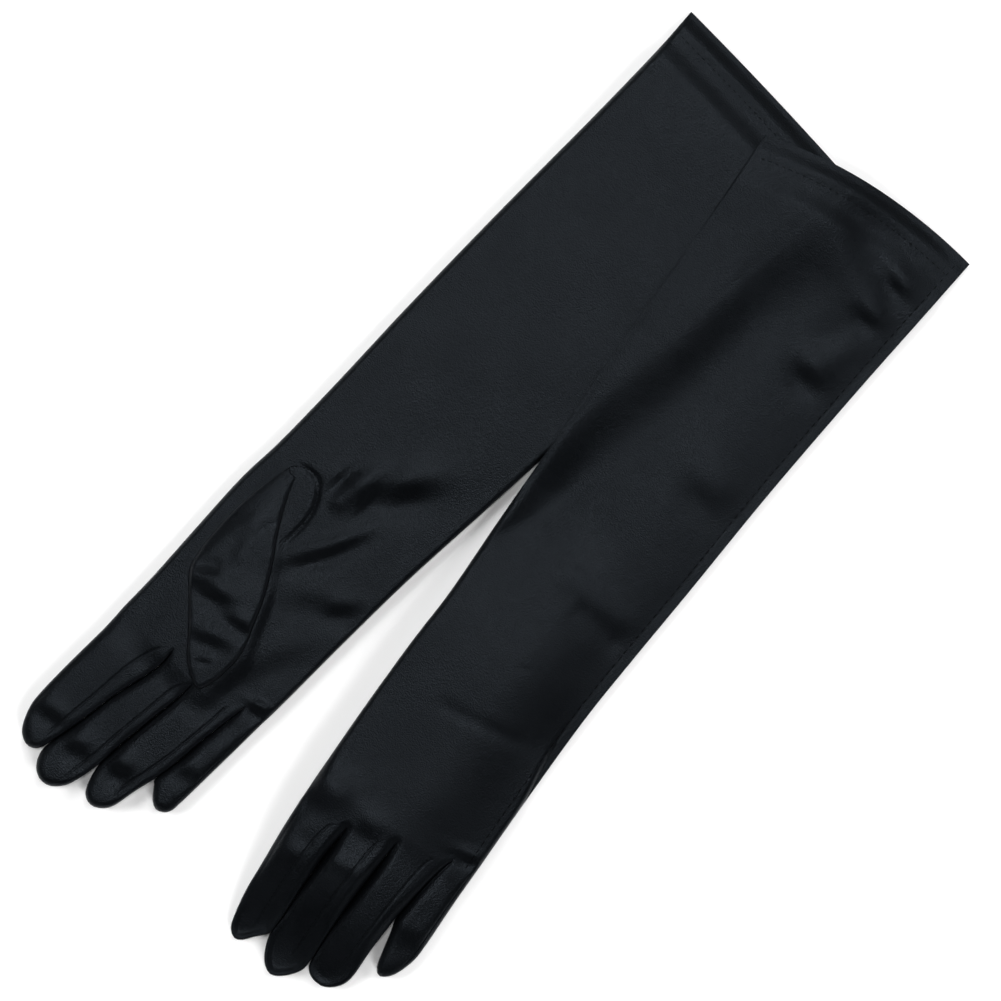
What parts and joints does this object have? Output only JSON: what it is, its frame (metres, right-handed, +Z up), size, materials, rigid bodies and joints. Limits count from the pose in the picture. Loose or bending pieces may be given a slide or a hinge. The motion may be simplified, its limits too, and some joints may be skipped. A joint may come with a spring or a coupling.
{
  "type": "pair of opera gloves",
  "caption": "Pair of elbow-length satin gloves lying flat, one palm up and one palm down, with fingers and thumbs that fold.",
  "frame": {"origin": "under the middle of the pair's bounding box, on the surface the gloves lie on", "axes": "+Z up, +Y from the fingertips to the cuffs, +X from the palm-up right-hand glove to the palm-down left-hand glove"},
  "size_m": [0.2116, 0.4616, 0.0139],
  "materials": {
    "satin": "blue-black stretch satin, soft broad sheen, fine diagonal weave",
    "thread": "black polyester sewing thread"
  },
  "bodies": {
    "right_glove": {"right_cuff_hem": "satin", "right_hem_stitches": "thread", "right_side_seam_stitches": "thread", "right_thumb_seam_stitches": "thread", "right_trank": "satin"},
    "right_thumb_body": {"right_thumb": "satin"},
    "right_index_finger": {"right_index_fourchette_outer": "satin", "right_index_stall": "satin", "right_index_stitches": "thread"},
    "right_middle_finger": {"right_middle_fourchette_inner": "satin", "right_middle_fourchette_outer": "satin", "right_middle_stall": "satin", "right_middle_stitches": "thread"},
    "right_ring_finger": {"right_ring_fourchette_inner": "satin", "right_ring_fourchette_outer": "satin", "right_ring_stall": "satin", "right_ring_stitches": "thread"},
    "right_little_finger": {"right_little_fourchette_inner": "satin", "right_little_stall": "satin", "right_little_stitches": "thread"},
    "left_glove": {"left_cuff_hem": "satin", "left_hem_stitches": "thread", "left_side_seam_stitches": "thread", "left_thumb_seam_stitches": "thread", "left_trank": "satin"},
    "left_thumb_body": {"left_thumb": "satin"},
    "left_index_finger": {"left_index_fourchette_outer": "satin", "left_index_stall": "satin", "left_index_stitches": "thread"},
    "left_middle_finger": {"left_middle_fourchette_inner": "satin", "left_middle_fourchette_outer": "satin", "left_middle_stall": "satin", "left_middle_stitches": "thread"},
    "left_ring_finger": {"left_ring_fourchette_inner": "satin", "left_ring_fourchette_outer": "satin", "left_ring_stall": "satin", "left_ring_stitches": "thread"},
    "left_little_finger": {"left_little_fourchette_inner": "satin", "left_little_stall": "satin", "left_little_stitches": "thread"}
  },
  "joints": [
    {"name": "left_glove_lift", "type": "slide", "parent": "right_glove", "child": "left_glove", "axis": [0, 0, 1], "range_m": [0, 0.06]},
    {"name": "right_index_fold", "type": "hinge", "parent": "right_glove", "child": "right_index_finger", "pos_m": [-0.08683, -0.15269, 0.0033], "axis": [-0.9999, 0.0109, 0], "range_deg": [0, 75]},
    {"name": "right_middle_fold", "type": "hinge", "parent": "right_glove", "child": "right_middle_finger", "pos_m": [-0.06185, -0.15297, 0.0033], "axis": [-0.9999, 0.0109, 0], "range_deg": [0, 75]},
    {"name": "right_ring_fold", "type": "hinge", "parent": "right_glove", "child": "right_ring_finger", "pos_m": [-0.04084, -0.1532, 0.0033], "axis": [-0.9999, 0.0109, 0], "range_deg": [0, 75]},
    {"name": "right_little_fold", "type": "hinge", "parent": "right_glove", "child": "right_little_finger", "pos_m": [-0.02388, -0.15338, 0.0033], "axis": [-0.9999, 0.0109, 0], "range_deg": [0, 75]},
    {"name": "left_index_fold", "type": "hinge", "parent": "left_glove", "child": "left_index_finger", "pos_m": [0.02915, -0.15899, 0.0103], "axis": [-0.9607, -0.2774, 0], "range_deg": [0, 60]},
    {"name": "left_middle_fold", "type": "hinge", "parent": "left_glove", "child": "left_middle_finger", "pos_m": [0.05148, -0.15254, 0.0103], "axis": [-0.9607, -0.2774, 0], "range_deg": [0, 60]},
    {"name": "left_ring_fold", "type": "hinge", "parent": "left_glove", "child": "left_ring_finger", "pos_m": [0.07421, -0.14598, 0.0103], "axis": [-0.9607, -0.2774, 0], "range_deg": [0, 60]},
    {"name": "left_little_fold", "type": "hinge", "parent": "left_glove", "child": "left_little_finger", "pos_m": [0.09359, -0.14038, 0.0103], "axis": [-0.9607, -0.2774, 0], "range_deg": [0, 60]},
    {"name": "right_thumb_fold", "type": "hinge", "parent": "right_glove", "child": "right_thumb_body", "pos_m": [-0.08354, -0.07848, 0.01], "axis": [-0.0906, -0.9959, 0], "range_deg": [0, 150]},
    {"name": "left_thumb_swing", "type": "hinge", "parent": "left_glove", "child": "left_thumb_body", "pos_m": [0.02466, -0.08016, 0.003], "axis": [0, 0, -1], "range_deg": [0, 50]}
  ]
}
